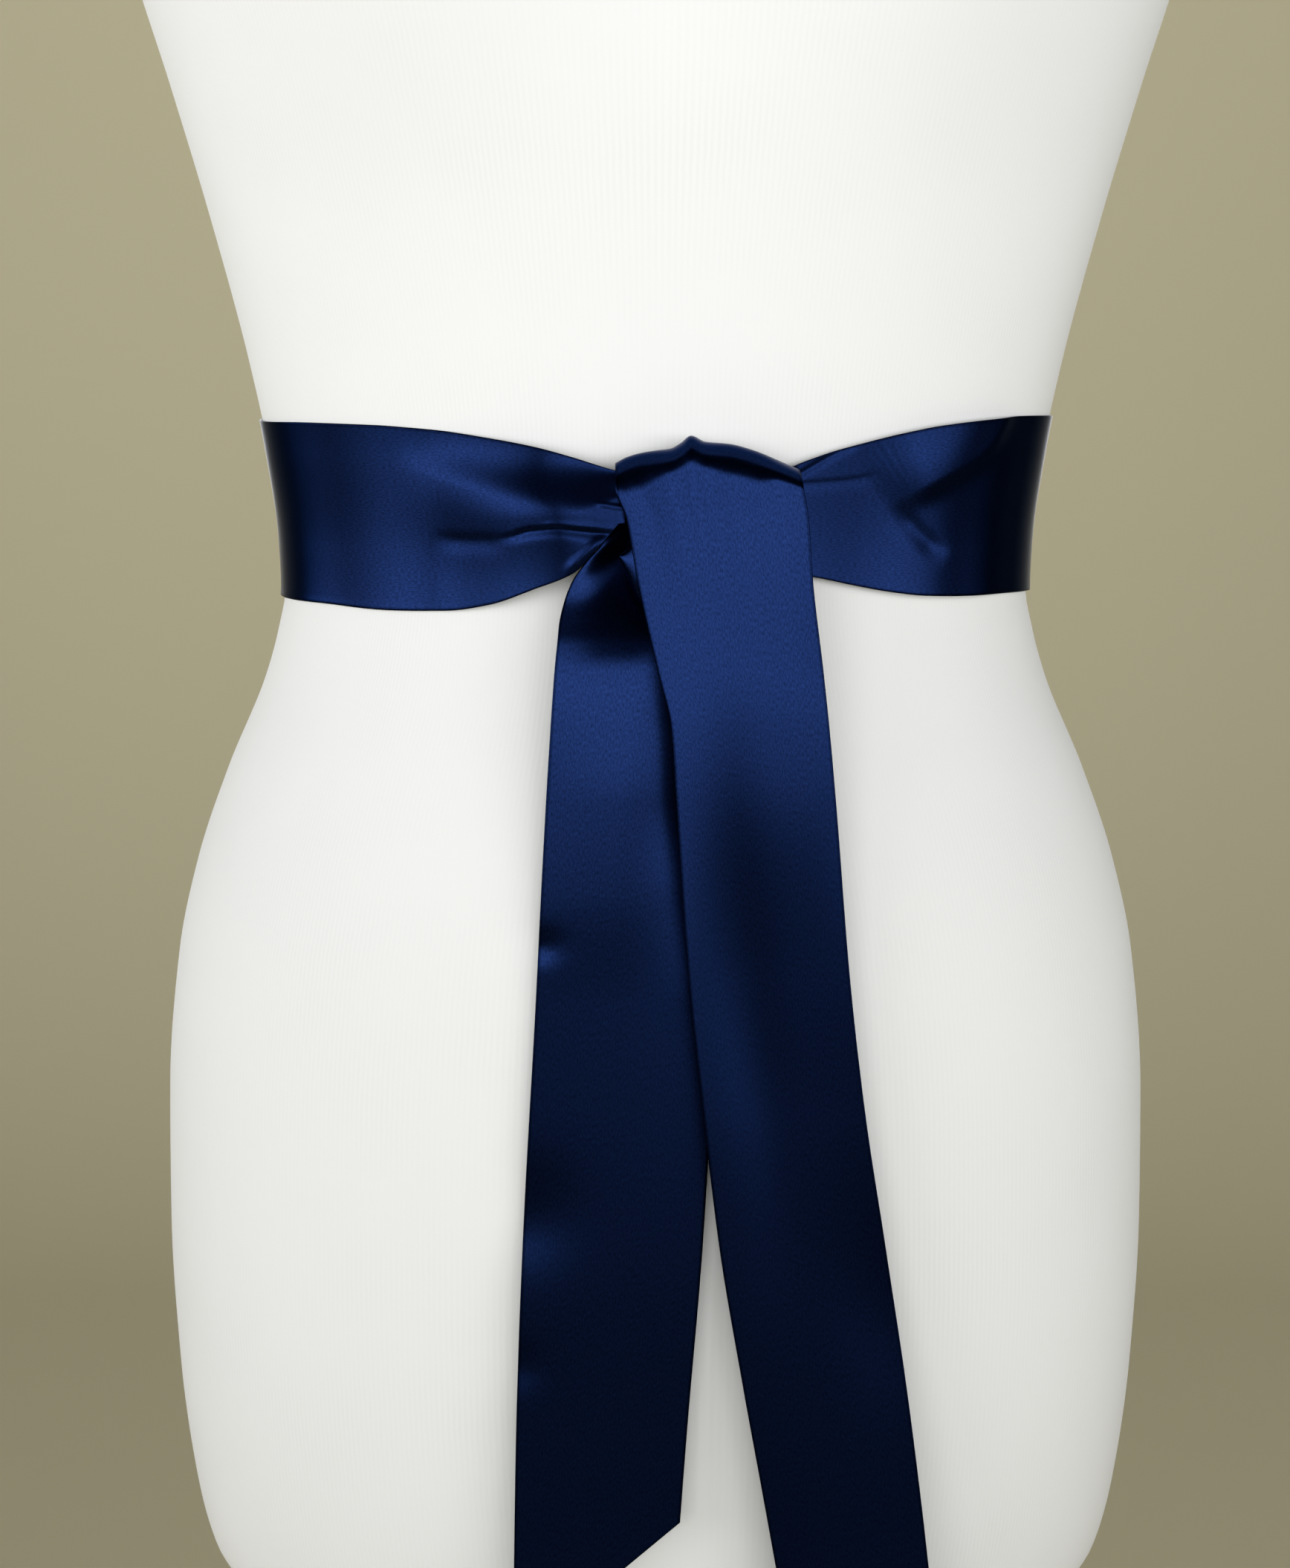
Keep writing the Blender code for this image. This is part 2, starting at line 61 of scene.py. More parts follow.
# The waist stretches, with azimuths in degrees from the front
SIDE_SEAM = 100.0         # where the back stretch begins on each side
LEFT_FINE = -42.0         # where the left stretch's grid becomes finer
LEFT_END = -3.2           # where it goes into the knot
RIGHT_START = 11.4        # where the right stretch comes out of the knot
RIGHT_FINE = 62.0         # where its fine grid ends
ACROSS_POINTS = 105       # points across each stretch
LEFT_LIFT = 0.0118        # how far the left stretch climbs off the form on its way over the knot
LEFT_CLIMB = (-32.0, -6.0)
UPPER_CLIMB = 0.62        # the share of that climb which the upper edge makes
RIGHT_LIFT = 0.0030       # how far the right stretch stands off the form beside the front tail
RIGHT_CLIMB = (46.0, 66.0)
RIGHT_REACH = 0.0049      # how much further it climbs to the knot's back, under the tail
REACH_CLIMB = (13.0, 18.8)

# The folds' paths
PATH_STEPS = 24           # straight pieces that a path is cut into
FADE_IN = 0.35            # share of a path over which its start fades
FADE_OUT = 0.65           # where its end begins to fade

# The tails
LEVEL_POWER = 14          # how soon the rows below the roll lie level across the tail
CURL_SHARE = 0.28         # how far across the rear tail its left side curls
TUCK_SHARE = 0.40         # where its right side begins to tuck in
ROLL_START = 205.0        # angle round the roll, in degrees, where the front tail begins behind the knot
ROLL_END = 2.0            # and where it hangs free
ROLL_TURN = (80.0, 140.0) # between which its edges are tucked in at the back

# The knot's section: powers of its cosine and sine, less than 1 for a blunter curve
KNOT_BLUNT = 0.7
KNOT_SQUARE = 0.85

# Bust lobes
BUST_APART = 0.088
BUST_RISE = 0.185
BUST_DEPTH = 0.021
BUST_SPREAD = 0.060
BUST_TALL = 0.062

# Colours as the eye sees them, sRGB
SATIN_NAVY = "#0D1A3B"
GRAZING_BLUE = "#BCC0D0"
JERSEY_WHITE = "#E9EAE9"
STEEL_GREY = "#B9B9B6"
ROOM_PALE = "#CBC4A5"

# Floor and backdrop, in metres
ROOM_NEAR = 3.2
ROOM_FAR = 1.6
ROOM_SIDE = 4.0
ROOM_BEND = 0.8           # radius of the curve from floor to wall
ROOM_TALL = 3.0

# The photograph's view
LENS = 72.65              # mm, for an image 36 mm tall
FILM_TALL = 36.0
CAMERA_ACROSS = -0.00345
CAMERA_AWAY = 1.05
CAMERA_RISE = 0.055
CAMERA_DIP = 7.90         # degrees below level

# Soft light panels like tall windows. Azimuth is from the front, and low and high are rises.
WORLD_GLOW = 0.05
OVERHEAD = 1.0            # a panel that starts above this rise aims at the waist, and the others aim level
LIGHTS = [
    # name,            azimuth, away, wide, low,   high, spread, watts a square metre
    ("window_front_a",   -20.0,  3.4,  1.35, -0.40, 1.35, 60.0, 1.65),
    ("window_front_b",     3.0,  3.4,  1.35, -0.40, 1.35, 60.0, 1.65),
    ("window_front_c",    27.0,  3.4,  1.45, -0.40, 1.35, 60.0, 1.65),
    ("window_left",      -60.0,  3.4,  3.00, -0.36, 1.35, 60.0, 2.1),
    ("window_far_left", -100.0,  3.4,  2.20, -0.10, 1.35, 60.0, 1.8),
    ("window_right",      54.0,  3.4,  1.80, -0.36, 1.35, 60.0, 2.0),
    ("window_far_right",  90.0,  3.4,  2.60, -0.36, 1.35, 60.0, 0.28),
    ("window_back",      180.0,  1.5,  2.0, -0.40, 1.10, 60.0, 0.8),
    ("skylight_back",    180.0,  1.3,  2.4,  1.60, 2.50, 150.0, 2.6),
]

# Sections, edges and rows are those of the solids. The folds and the right stretch's reach are the scene's
# own.
TORSO = [
    # rise,   half,   front,  back,   square
    (-0.385, 0.1020, 0.0560, 0.0700, 2.20),
    (-0.381, 0.1240, 0.0690, 0.0850, 2.25),
    (-0.373, 0.1345, 0.0770, 0.0930, 2.28),
    (-0.362, 0.1430, 0.0825, 0.1000, 2.30),
    (-0.348, 0.1515, 0.0868, 0.1055, 2.32),
    (-0.322, 0.1575, 0.0915, 0.1120, 2.34),
    (-0.284, 0.1618, 0.0955, 0.1175, 2.34),
    (-0.236, 0.1639, 0.0990, 0.1210, 2.32),
    (-0.190, 0.1634, 0.1012, 0.1220, 2.30),
    (-0.144, 0.1593, 0.1018, 0.1190, 2.27),
    (-0.113, 0.1524, 0.1000, 0.1130, 2.24),
    (-0.083, 0.1419, 0.0962, 0.1040, 2.20),
    (-0.053, 0.1292, 0.0912, 0.0930, 2.16),
    (-0.038, 0.1249, 0.0886, 0.0885, 2.15),
    (-0.0235, 0.1223, 0.0870, 0.0860, 2.15),
    (-0.008, 0.1230, 0.0866, 0.0852, 2.15),
    (0.021, 0.1272, 0.0876, 0.0870, 2.15),
    (0.050, 0.1331, 0.0900, 0.0910, 2.15),
    (0.093, 0.1440, 0.0950, 0.0975, 2.17),
    (0.136, 0.1562, 0.1005, 0.1030, 2.20),
    (0.180, 0.1695, 0.1040, 0.1065, 2.24),
    (0.225, 0.1800, 0.1030, 0.1080, 2.30),
    (0.270, 0.1855, 0.0960, 0.1060, 2.34),
    (0.310, 0.1850, 0.0860, 0.0990, 2.34),
    (0.337, 0.1740, 0.0765, 0.0900, 2.30),
    (0.356, 0.1480, 0.0690, 0.0810, 2.24),
    (0.373, 0.1130, 0.0630, 0.0720, 2.15),
    (0.392, 0.0800, 0.0590, 0.0640, 2.05),
    (0.420, 0.0610, 0.0560, 0.0590, 2.00),
    (0.462, 0.0560, 0.0545, 0.0555, 2.00),
]
BAND_LEFT = [
    # azimuth, upper, lower
    (-101.0, 0.0312, -0.0258),
    (-75.0, 0.0306, -0.0262),
    (-57.0, 0.0309, -0.0260),
    (-42.0, 0.0306, -0.0267),
    (-30.0, 0.0293, -0.0261),
    (-22.0, 0.0273, -0.0236),
    (-14.6, 0.0246, -0.0181),
    (-9.4, 0.0214, -0.0130),
    (-6.6, 0.0192, -0.0060),
    (-4.0, 0.0172, 0.0020),
]
BAND_BACK = [
    # azimuth, upper, lower
    (99.0, 0.0314, -0.0254),
    (180.0, 0.0313, -0.0256),
    (261.0, 0.0312, -0.0258),
]
BAND_RIGHT = [
    # azimuth, upper, lower
    (16.0, 0.0180, -0.0135),
    (21.5, 0.0222, -0.0155),
    (27.0, 0.0254, -0.0180),
    (33.0, 0.0282, -0.0203),
    (40.0, 0.0305, -0.0220),
    (50.0, 0.0321, -0.0228),
    (60.0, 0.0328, -0.0232),
    (75.0, 0.0325, -0.0240),
    (101.0, 0.0314, -0.0254),
]
KNOT = [
    # across,  upper,   lower,   front
    (-0.0110, -0.0070, -0.0090, -0.1000),
    (-0.0085, -0.0048, -0.0150, -0.1016),
    (-0.0055, -0.0010, -0.0215, -0.1034),
    (0.0010, 0.0070, -0.0235, -0.1048),
    (0.0100, 0.0120, -0.0225, -0.1055),
    (0.0200, 0.0125, -0.0220, -0.1055),
    (0.0300, 0.0090, -0.0200, -0.1045),
    (0.0388, -0.0020, -0.0120, -0.0995),
]
KNOT_BACK = -0.0945
ROLL_TOP = [
    # across, top,    tall
    (-0.0123, 0.0198, 0.0090),
    (-0.0090, 0.0215, 0.0118),
    (-0.0049, 0.0227, 0.0121),
    (0.0000, 0.0235, 0.0094),
    (0.0040, 0.0240, 0.0074),
    (0.0074, 0.0258, 0.0078),
    (0.0103, 0.0279, 0.0084),
    (0.0145, 0.0261, 0.0082),
    (0.0220, 0.0254, 0.0102),
    (0.0290, 0.0236, 0.0102),
    (0.0360, 0.0208, 0.0064),
    (0.0425, 0.0178, 0.0056),
]
ROLL_MIDDLE = -0.0955
ROLL_BACK = 0.0050
ROLL_TUCK = 0.0046
FRONT_TAIL = [
    # rise,   left,    right,   depth,   turn,   crown
    (0.0200, -0.0123, 0.0425, -0.1064, 0.0000, 0.0000),
    (0.0125, -0.0122, 0.0438, -0.1065, 0.0000, 0.0002),
    (0.0040, -0.0092, 0.0453, -0.1067, 0.0000, 0.0006),
    (-0.0150, -0.0057, 0.0467, -0.1072, 0.0002, 0.0008),
    (-0.0420, 0.0004, 0.0500, -0.1080, 0.0008, 0.0008),
    (-0.0590, 0.0044, 0.0519, -0.1086, 0.0011, 0.0006),
    (-0.0820, 0.0060, 0.0541, -0.1091, 0.0014, 0.0004),
    (-0.1360, 0.0098, 0.0588, -0.1097, 0.0020, -0.0010),
    (-0.1780, 0.0144, 0.0639, -0.1094, 0.0022, -0.0014),
    (-0.2200, 0.0195, 0.0706, -0.1084, 0.0020, -0.0012),
    (-0.2620, 0.0265, 0.0772, -0.1070, 0.0016, -0.0006),
    (-0.3050, 0.0342, 0.0830, -0.1052, 0.0012, 0.0002),
    (-0.3600, 0.0438, 0.0895, -0.1029, 0.0008, 0.0008),
    (-0.4150, 0.0525, 0.0962, -0.1005, 0.0006, 0.0010),
]
REAR_TAIL = [
    # rise,   left,    right,   depth,   turn,    crown,  curl,   tuck
    (0.0020, -0.0130, 0.0120, -0.0884, 0.0000, 0.0000, 0.0020, 0.0000),
    (-0.0050, -0.0168, 0.0150, -0.0893, 0.0000, 0.0000, 0.0045, 0.0000),
    (-0.0100, -0.0214, 0.0170, -0.0909, 0.0000, 0.0000, 0.0038, 0.0000),
    (-0.0160, -0.0256, 0.0190, -0.0931, 0.0000, 0.0000, 0.0026, 0.0000),
    (-0.0220, -0.0279, 0.0203, -0.0953, 0.0000, 0.0000, 0.0014, 0.0000),
    (-0.0280, -0.0293, 0.0212, -0.0975, 0.0000, 0.0000, 0.0009, 0.0000),
    (-0.0340, -0.0299, 0.0217, -0.0995, 0.0000, 0.0000, 0.0006, 0.0008),
    (-0.0420, -0.0307, 0.0221, -0.1014, 0.0000, 0.0000, 0.0000, 0.0028),
    (-0.0500, -0.0313, 0.0224, -0.1020, 0.0000, 0.0002, 0.0000, 0.0042),
    (-0.0600, -0.0320, 0.0224, -0.1024, 0.0000, 0.0004, 0.0000, 0.0050),
    (-0.0820, -0.0334, 0.0214, -0.1029, 0.0000, 0.0008, 0.0000, 0.0046),
    (-0.1100, -0.0350, 0.0200, -0.1034, 0.0000, 0.0008, 0.0000, 0.0023),
    (-0.1440, -0.0368, 0.0184, -0.1038, -0.0004, 0.0004, 0.0000, 0.0006),
    (-0.2200, -0.0412, 0.0143, -0.1043, -0.0008, 0.0006, 0.0000, 0.0000),
    (-0.2780, -0.0435, 0.0097, -0.1033, -0.0010, 0.0010, 0.0000, 0.0000),
    (-0.3600, -0.0452, 0.0040, -0.1008, -0.0010, 0.0012, 0.0000, 0.0000),
]
FRONT_TIP = {"left": -0.3660, "right": -0.4150}
REAR_TIP = {"left": -0.3560, "right": -0.3090}

# Soft dents in the tails. Share is the place across, 0 at the left edge; depth is towards the form.
FRONT_DENTS = [
    # share, rise,   wide,  tall,  depth
    (0.32, -0.140, 0.20, 0.060, 0.0020),
    (0.95, -0.240, 0.30, 0.030, 0.0014),
]
REAR_DENTS = [
    # share, rise,   wide,  tall,  depth
    (0.52, -0.0150, 0.28, 0.0120, 0.0024),
    (0.00, -0.1262, 0.12, 0.0048, 0.0006),
    (0.00, -0.2120, 0.26, 0.0150, 0.0015),
    (0.00, -0.2590, 0.13, 0.0070, 0.0008),
]

# Folds round the waist, each along a smooth path of listed crest points, in millimetres. Height is how
# far the crest stands out, up and down how far its upper and lower sides reach, and start and end how much
# of the height is left where the path begins and ends.
FOLDS_LEFT = [
    # path across and rise,                                            height, up,  down, start, end
    ([(-84, 17), (-70, 14.5), (-58, 11.5), (-47, 9), (-36, 7), (-24, 4.6), (-12, 2)],
                                                                        2.1,   8.0, 17.0, 0.0, 0.8),
    ([(-50, -3.8), (-43, -2.2), (-38, -0.6), (-29.7, 0.3), (-23, -0.3), (-14, -1.2)],
                                                                        -0.75, 0.9, 1.8, 0.0, 1.0),
    ([(-70, -3), (-60, -4.2), (-50, -4), (-42, -2.6)],                  -0.45, 2.0, 3.4, 0.0, 0.0),
    ([(-39, -1.0), (-29.7, 1.6), (-23, 1.2), (-14, 0.6)],               0.20,  0.9, 0.9, 0.0, 0.8),
    ([(-14.5, -1.8), (-22, -8), (-28, -14)],                            0.7,   1.6, 1.6, 0.8, 0.0),
    ([(-19, 8.4), (-14, 7.4), (-9, 6.6)],                               0.3,   0.6, 0.9, 0.0, 1.0),
]
FOLDS_RIGHT = [
    # path across and rise,                                            height, up,  down, start, end
    ([(43, 16), (49, 19.5), (56, 23.2), (64, 26.4)],                    -0.32, 0.8, 1.3, 1.0, 0.0),
    ([(43, 13.2), (52, 13.7), (60, 14.4), (70, 16.6)],                  -0.14, 0.9, 2.2, 1.0, 0.0),
    ([(107, 32), (104, 26.5), (97, 20.5), (88, 15.5), (78, 10.5), (70, 5)], 1.5, 15.0, 4.2, 1.0, 0.0),
    ([(72, 8), (78, 1), (84, -4.8), (92, -11)],                         -0.6,  2.6, 4.0, 0.0, 0.0),
]
FOLDS_BACK = [
    # path across and rise,                                            height, up,  down, start, end
    ([(104, 18), (84, 13.5), (62, 12), (41, 14.5)],                     0.8,   5.0, 8.0, 0.0, 0.0),
    ([(58, -9), (36, -5.5), (12, -4.5), (-9, -7)],                      0.6,   4.0, 7.5, 0.0, 0.0),
    ([(22, 17), (2, 14), (-14, 15.5)],                                  -0.4,  2.2, 3.6, 0.0, 0.0),
    ([(-30, 9), (-52, 5), (-77, 3.5), (-101, 7.5)],                     0.9,   6.0, 9.0, 0.0, 0.0),
    ([(-48, -13), (-62, -10), (-82, -10.5)],                            -0.4,  2.0, 3.4, 0.0, 0.0),
]


def read(table, column, at):
    """Value of one column of a table at the places given, on a smooth curve through its rows.

    A cubic runs between each two rows. Its slope at a row is the weighted harmonic mean of the slopes on
    both sides, and 0 where they differ in sign, so that the curve never overshoots.
    """
    rows = np.array(table, dtype=float)
    rows = rows[np.argsort(rows[:, 0])]
    place, value = rows[:, 0], rows[:, column]
    step = np.diff(place)
    slope = np.diff(value) / step
    tangent = np.concatenate([slope[:1], np.zeros(len(place) - 2), slope[-1:]])
    same = slope[:-1] * slope[1:] > 0
    before = 2 * step[1:] + step[:-1]
    after = step[1:] + 2 * step[:-1]
    # Where the slopes differ in sign, the divisor is only kept away from 0.
    safe = np.where(same, slope[:-1] * slope[1:], 1.0)
    mean = (before + after) * safe / (before * slope[1:] + after * slope[:-1] + (~same) * 1e9)
    tangent[1:-1] = np.where(same, mean, 0.0)
    at = np.clip(at, place[0], place[-1])
    row = np.clip(np.searchsorted(place, at, side="right") - 1, 0, len(step) - 1)
    part = (at - place[row]) / step[row]
    rest = 1 - part
    start = (1 + 2 * part) * rest ** 2 * value[row] + part * rest ** 2 * step[row] * tangent[row]
    finish = part ** 2 * (3 - 2 * part) * value[row + 1] - part ** 2 * rest * step[row] * tangent[row + 1]
    return start + finish


def ease(low, high, at):
    """0 below low, 1 above high, and a smooth step between."""
    part = np.clip((at - low) / (high - low), 0.0, 1.0)
    return part ** 2 * (3 - 2 * part)


def rounded(value, power):
    """The value's power with its sign kept, straightened near 0 so that the outline has no kink there."""
    return value * (value ** 2 + 0.01) ** ((power - 1) / 2)


def form_point(azimuth, rise, out=0.0):
    """Points of the torso's surface, moved out: a rounded ellipse at each rise, with two bust lobes."""
    turn = np.radians(azimuth)
    side, ahead = np.sin(turn), np.cos(turn)
    power = 2.0 / read(TORSO, 4, rise)
    half = read(TORSO, 1, rise) + out
    reach = np.where(ahead > 0, read(TORSO, 2, rise), read(TORSO, 3, rise)) + out
    across = half * rounded(side, power)
    depth = -reach * rounded(ahead, power)
    beside = (np.abs(across) - BUST_APART) / BUST_SPREAD
    above = (rise - BUST_RISE) / BUST_TALL
    lobe = BUST_DEPTH * np.exp(-beside ** 2 - above ** 2) * np.clip(ahead, 0.0, 1.0) ** 0.5
    return np.stack([across, depth - lobe, rise + 0 * across], axis=-1)


def folds(rows, across, rise):
    """Height of the folds at each place: a soft bell on each side of each path, fading towards its ends."""
    height = np.zeros(np.shape(across))
    for path, tall, up, down, start, end in rows:
        spots = np.array(path) * MM
        reach = np.concatenate([[0.0], np.cumsum(np.linalg.norm(np.diff(spots, axis=0), axis=-1))])
        table = np.column_stack([reach, spots])
        at = np.linspace(0.0, reach[-1], PATH_STEPS + 1)
        x, z = read(table, 1, at), read(table, 2, at)
        nearest = np.full(np.shape(across), np.inf)
        above = np.zeros(np.shape(across))
        place = np.zeros(np.shape(across))
        for step in range(PATH_STEPS):
            run_x, run_z = x[step + 1] - x[step], z[step + 1] - z[step]
            from_x, from_z = across - x[step], rise - z[step]
            part = np.clip((from_x * run_x + from_z * run_z) / (run_x ** 2 + run_z ** 2), 0.0, 1.0)
            gap = np.hypot(from_x - part * run_x, from_z - part * run_z)
            closer = gap < nearest
            nearest = np.where(closer, gap, nearest)
            above = np.where(closer, (from_z * run_x - from_x * run_z) * np.sign(run_x) > 0, above)
            place = np.where(closer, (step + part) / PATH_STEPS, place)
        bell = np.exp(-(nearest / np.where(above > 0.5, up * MM, down * MM)) ** 2)
        fade_in = start + (1 - start) * ease(0.0, FADE_IN, place)
        fade_out = end + (1 - end) * (1 - ease(FADE_OUT, 1.0, place))
        height = height + tall * MM * bell * (fade_in * fade_out)
    return height


def add_mesh(name, points, faces, uv, material):
    """One smooth object, its heights moved from the waistline to the surface, with a UV map in metres."""
    points = np.array(points, dtype=float).reshape(-1, 3) + [0.0, 0.0, WAIST]
    mesh = bpy.data.meshes.new(name)
    mesh.from_pydata(points.tolist(), [], faces)
    layer = mesh.uv_layers.new(name="cloth")
    layer.data.foreach_set("uv", np.ascontiguousarray(uv, dtype=np.float32).ravel())
    mesh.shade_smooth()
    mesh.materials.append(material)
    piece = bpy.data.objects.new(name, mesh)
    bpy.context.scene.collection.objects.link(piece)
    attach(piece, "root")
    return piece


def grid_corners(rows, cols, closed=False):
    """Corner indices of each quad as (row, column) pairs, one array each; columns may close into a ring."""
    row, col = np.meshgrid(np.arange(rows - 1), np.arange(cols if closed else cols - 1), indexing="ij")
    rows_of = np.stack([row, row + 1, row + 1, row], axis=-1).reshape(-1, 4)
    cols_of = np.stack([col, col, col + 1, col + 1], axis=-1).reshape(-1, 4)
    return rows_of, cols_of


def flat_map(points):
    """Each point's place on the flat ribbon: across from one edge, by columns, and along it, by rows."""
    across = np.cumsum(np.linalg.norm(np.diff(points, axis=1, prepend=points[:, :1]), axis=-1), axis=1)
    along = np.cumsum(np.linalg.norm(np.diff(points, axis=0, prepend=points[:1]), axis=-1), axis=0)
    across = across / across[:, -1:] * RIBBON_WIDTH
    return np.stack([across, np.broadcast_to(along.mean(axis=1, keepdims=True), across.shape)], axis=-1)


def add_ribbon(name, points, material, node_name):
    """A stretch of ribbon: a thin sheet on a grid of points, half its thickness to each side of them."""
    rows, cols = points.shape[:2]
    row, col = grid_corners(rows, cols)
    piece = add_mesh(name, points, (row * cols + col).tolist(), flat_map(points)[row, col], material)
    wall = piece.modifiers.new("wall", "SOLIDIFY")
    wall.thickness = RIBBON_THICK
    wall.offset = 0.0
    wall.use_even_offset = True
    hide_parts(node_name)
    return piece


def colour(code):
    """Linear colour of an sRGB hex code."""
    parts = [int(code[i:i + 2], 16) / 255 for i in (1, 3, 5)]
    return tuple(p / 12.92 if p <= 0.04045 else ((p + 0.055) / 1.055) ** 2.4 for p in parts) + (1.0,)


def new_material(name, **settings):
    """A material whose Principled shader has the given constants, and its node tree."""
    material = bpy.data.materials.new(name)
    material.use_nodes = True
    tree = material.node_tree
    shader = tree.nodes["Principled BSDF"]
    for key, value in settings.items():
        shader.inputs[key.replace("_", " ")].default_value = value
    return material, tree, shader


def node(tree, kind, links=None, **settings):
    """Adds a node with its settings and links; a link's value is a socket, or a constant."""
    made = tree.nodes.new(kind)
    for key, value in settings.items():
        setattr(made, key, value)
    for key, value in (links or {}).items():
        if isinstance(value, bpy.types.NodeSocket):
            tree.links.new(value, made.inputs[key])
        else:
            made.inputs[key].default_value = value
    return made


def navy_satin():
    """Double-faced polyester satin ribbon, piece-dyed navy: smooth filament floats run along its length.

    The floats throw back light as a dyed mirror would, spread across the ribbon far more than along it, with
    hardly any colour of their own where nothing bright is mirrored. The eye sees soft navy sheen, black
    hollows and grey edges, broken by short streaks of uneven thread. A dense narrow selvedge borders it.
    """
    material, tree, shader = new_material("woven_satin_navy", Metallic=1.0, Roughness=0.29, Anisotropic=0.70,
                                          Specular_Tint=colour(GRAZING_BLUE))
    cloth = node(tree, "ShaderNodeUVMap", uv_map="cloth").outputs["UV"]
    tangent = node(tree, "ShaderNodeTangent", direction_type="UV_MAP", uv_map="cloth")
    tree.links.new(tangent.outputs["Tangent"], shader.inputs["Tangent"])
    # Real threads are 0.12 mm apart: the streaks are drawn 0.45 mm wide and 1.2 mm long, so that they show.
    streak = node(tree, "ShaderNodeMapping", {"Vector": cloth, "Scale": (1 / 0.00045, 1 / 0.0012, 1.0)})
    grain = node(tree, "ShaderNodeTexNoise", {"Vector": streak.outputs["Vector"],
                                             "Scale": 1.0, "Detail": 2.5})
    shade = node(tree, "ShaderNodeMapRange", {"Value": grain.outputs["Fac"],
                                             "From Min": 0.25, "From Max": 0.75,
                                             "To Min": 0.56, "To Max": 1.44})
    place = node(tree, "ShaderNodeSeparateXYZ", {"Vector": cloth})
    middle = node(tree, "ShaderNodeMath", {0: place.outputs["X"], 1: RIBBON_WIDTH / 2}, operation="SUBTRACT")
    beside = node(tree, "ShaderNodeMath", {0: middle.outputs["Value"]}, operation="ABSOLUTE")
    # The selvedge is the outermost 0.9 mm, and lies darker.
    edge = node(tree, "ShaderNodeMapRange", {"Value": beside.outputs["Value"],
                                            "From Min": RIBBON_WIDTH / 2 - 0.0011,
                                            "From Max": RIBBON_WIDTH / 2 - 0.0007,
                                            "To Min": 1.0, "To Max": 0.55})
    both = node(tree, "ShaderNodeMath", {0: shade.outputs["Result"], 1: edge.outputs["Result"]},
                operation="MULTIPLY")
    base = node(tree, "ShaderNodeMix", {0: 1.0, 6: colour(SATIN_NAVY), 7: both.outputs["Value"]},
                data_type="RGBA", blend_type="MULTIPLY")
    tree.links.new(base.outputs[2], shader.inputs["Base Color"])
    bump = node(tree, "ShaderNodeBump", {"Strength": 0.12, "Distance": 0.00006,
                                        "Height": grain.outputs["Fac"]})
    tree.links.new(bump.outputs["Normal"], shader.inputs["Normal"])
    return material


def jersey():
    """Fine ribbed cotton jersey stretched over the form: matte, off-white, with faint upright wales."""
    material, tree, shader = new_material("knit_jersey_off_white", Roughness=0.92, Sheen_Weight=0.12,
                                          Sheen_Roughness=0.5)
    cloth = node(tree, "ShaderNodeUVMap", uv_map="cloth").outputs["UV"]
    # Real wales are 0.75 mm apart: one in every 1.5 mm is drawn, so that they show. At scale 1 the texture
    # has 20 bands in 2 pi metres.
    wale = node(tree, "ShaderNodeTexWave", {"Vector": cloth, "Scale": 1 / 0.0015 * 2 * math.pi / 20,
                                           "Distortion": 1.2, "Detail": 2.0, "Detail Scale": 0.6},
                bands_direction="X")
    uneven = node(tree, "ShaderNodeTexNoise", {"Vector": cloth, "Scale": 18.0, "Detail": 3.0})
    fade = node(tree, "ShaderNodeMapRange", {"Value": uneven.outputs["Fac"],
                                            "From Min": 0.35, "From Max": 0.7,
                                            "To Min": 0.0, "To Max": 0.035})
    rib = node(tree, "ShaderNodeMath", {0: wale.outputs["Fac"], 1: fade.outputs["Result"]},
               operation="MULTIPLY")
    shade = node(tree, "ShaderNodeMath", {0: 1.0, 1: rib.outputs["Value"]}, operation="SUBTRACT")
    base = node(tree, "ShaderNodeMix", {0: 1.0, 6: colour(JERSEY_WHITE), 7: shade.outputs["Value"]},
                data_type="RGBA", blend_type="MULTIPLY")
    tree.links.new(base.outputs[2], shader.inputs["Base Color"])
    bump = node(tree, "ShaderNodeBump", {"Strength": 0.15, "Distance": 0.0001, "Height": wale.outputs["Fac"]})
    tree.links.new(bump.outputs["Normal"], shader.inputs["Normal"])
    return material


def satin_steel():
    """Brushed steel of the stand: a soft grey metal with fine lines round it, a little uneven in gloss."""
    material, tree, shader = new_material("brushed_steel", Metallic=1.0, Roughness=0.34)
    place = node(tree, "ShaderNodeTexCoord").outputs["Object"]
    round_it = node(tree, "ShaderNodeMapping", {"Vector": place, "Scale": (4.0, 4.0, 2600.0)})
    lines = node(tree, "ShaderNodeTexNoise", {"Vector": round_it.outputs["Vector"],
                                             "Scale": 1.0, "Detail": 3.0})
    tone = node(tree, "ShaderNodeMapRange", {"Value": lines.outputs["Fac"], "From Min": 0.3, "From Max": 0.7,
                                            "To Min": 0.90, "To Max": 1.06})
    base = node(tree, "ShaderNodeMix", {0: 1.0, 6: colour(STEEL_GREY), 7: tone.outputs["Result"]},
                data_type="RGBA", blend_type="MULTIPLY")
    tree.links.new(base.outputs[2], shader.inputs["Base Color"])
    bump = node(tree, "ShaderNodeBump", {"Strength": 0.2, "Distance": 0.00005,
                                        "Height": lines.outputs["Fac"]})
    tree.links.new(bump.outputs["Normal"], shader.inputs["Normal"])
    return material


